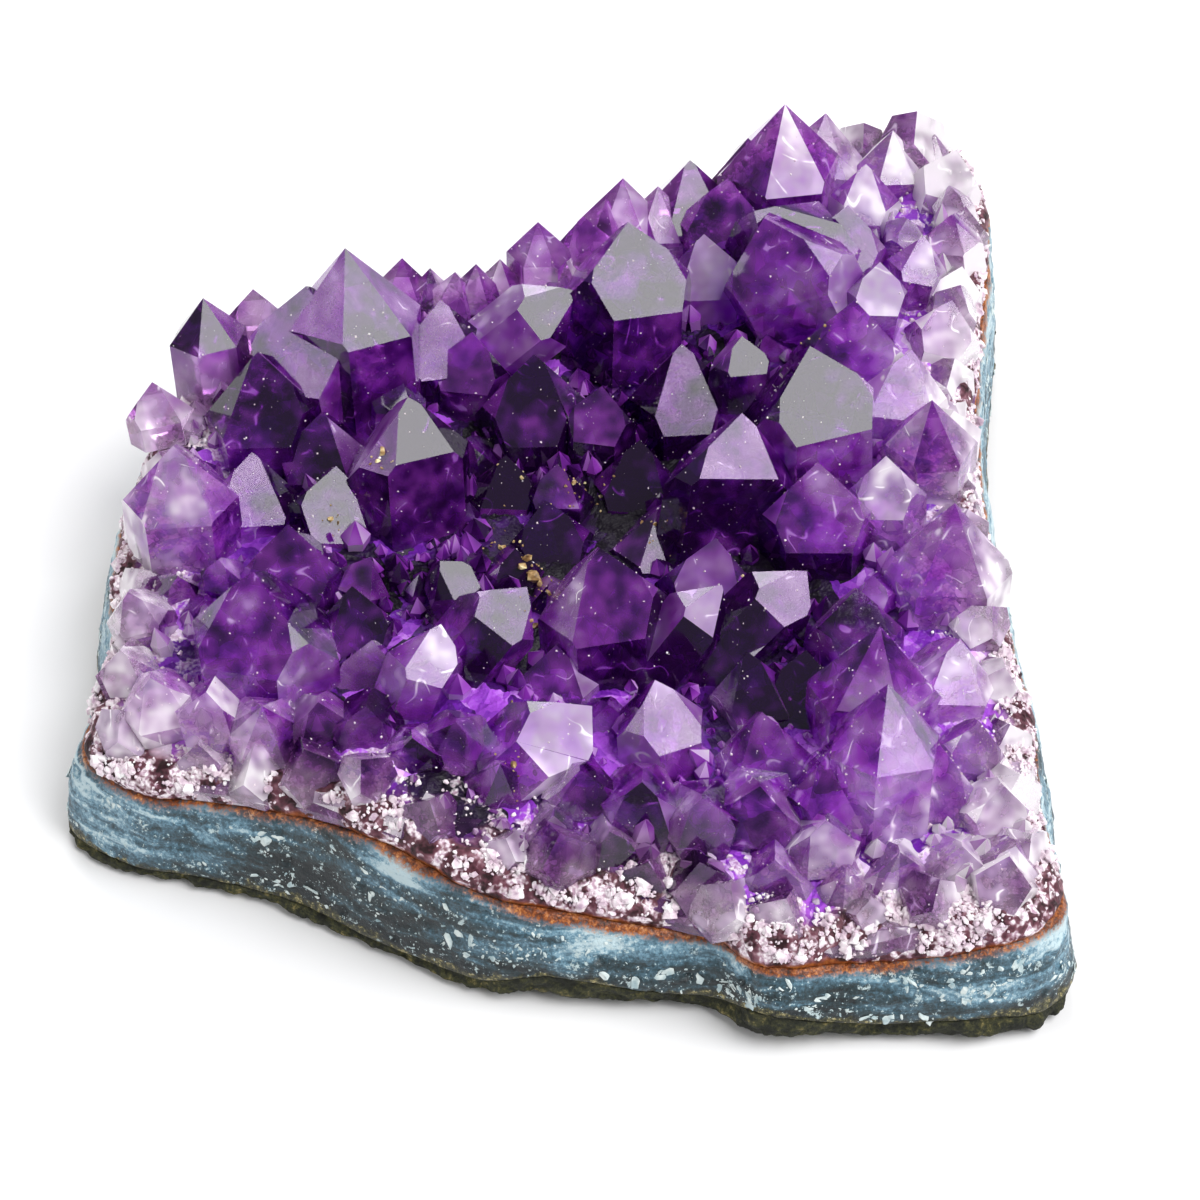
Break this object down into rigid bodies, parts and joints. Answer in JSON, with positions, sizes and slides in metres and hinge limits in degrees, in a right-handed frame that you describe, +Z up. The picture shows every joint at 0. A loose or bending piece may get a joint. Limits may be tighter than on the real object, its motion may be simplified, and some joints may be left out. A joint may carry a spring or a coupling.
{
  "type": "amethyst cluster",
  "caption": "Piece broken out of a geode's wall: a crust of violet amethyst points on a blue-grey agate band with a dark rock rind, made to rest flat.",
  "frame": {"origin": "bottom of the rind's flat underside, in the middle of the box seen from above", "axes": "+Z up out of the underside through the crystals, +Y from the long broken face with the agate band towards the back rim, +X to the right seen from the front"},
  "size_m": [0.1, 0.1162, 0.0345],
  "materials": {
    "rock_rind": "rough",
    "agate_band": "satin",
    "amethyst_crust": "gloss"
  },
  "bodies": {
    "root": {"rock_rind": "rock_rind", "agate_band": "agate_band", "amethyst_crust": "amethyst_crust"}
  },
  "joints": []
}
